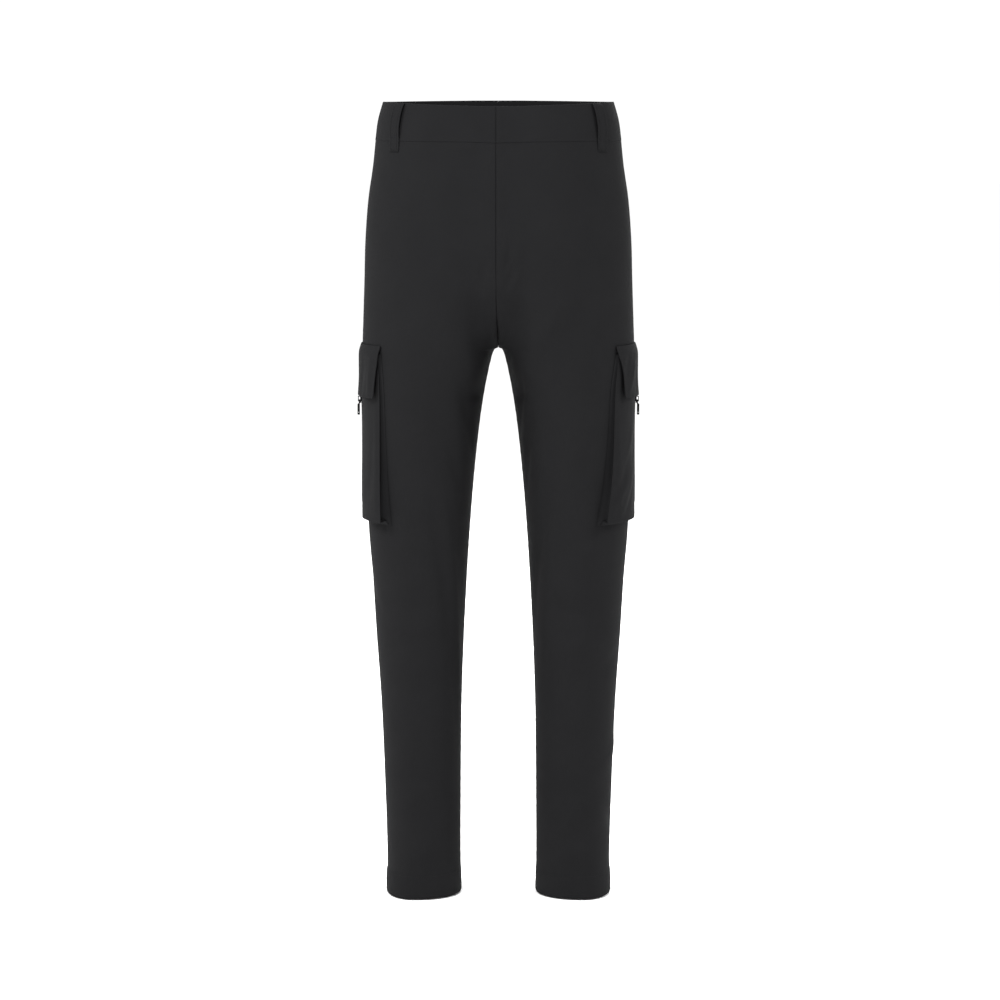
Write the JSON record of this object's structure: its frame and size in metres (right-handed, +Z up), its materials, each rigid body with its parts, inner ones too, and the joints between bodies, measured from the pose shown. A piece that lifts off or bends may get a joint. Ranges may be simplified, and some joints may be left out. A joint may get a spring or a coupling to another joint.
{
  "type": "cargo pants",
  "caption": "Straight cargo pants in their worn, hollow form, open at the waist and hems, with belt loops, a fly front and a flapped and zipped bellows pocket on each thigh.",
  "frame": {"origin": "centre of the waist, half way up the waistband, where the wearer's waist holds the pants up", "axes": "+Z up, -Y out of the front, +X to the wearer's left"},
  "size_m": [0.3794, 0.2708, 1.071],
  "materials": {
    "cloth": "matte charcoal stretch cotton twill",
    "zip": "black woven tape with moulded coil teeth",
    "metal": "black lacquered zinc, satin"
  },
  "bodies": {
    "root": {"front_right": "cloth", "front_left": "cloth", "back_right": "cloth", "back_left": "cloth", "waistband_right": "cloth", "waistband_left": "cloth", "fly_shield": "cloth", "belt_loop_front_right": "cloth", "belt_loop_front_left": "cloth", "belt_loop_side_right": "cloth", "belt_loop_side_left": "cloth", "belt_loop_back": "cloth", "cargo_pocket_right": "cloth", "cargo_pocket_left": "cloth", "cargo_flap_right": "cloth", "cargo_flap_left": "cloth", "fly_zip": "zip", "pocket_zip_right": "zip", "pocket_zip_left": "zip", "waist_hook": "metal", "waist_bar": "metal", "zip_slider_right": "metal", "zip_slider_left": "metal"},
    "pull_right": {"zip_pull_right": "metal"},
    "pull_left": {"zip_pull_left": "metal"}
  },
  "joints": [
    {"name": "pull_right_swing", "type": "hinge", "parent": "root", "child": "pull_right", "pos_m": [-0.18699, 0.00434, -0.37411], "axis": [0, 1, 0], "range_deg": [0, 120]},
    {"name": "pull_left_swing", "type": "hinge", "parent": "root", "child": "pull_left", "pos_m": [0.18699, 0.00434, -0.37411], "axis": [0, -1, 0], "range_deg": [0, 120]}
  ]
}
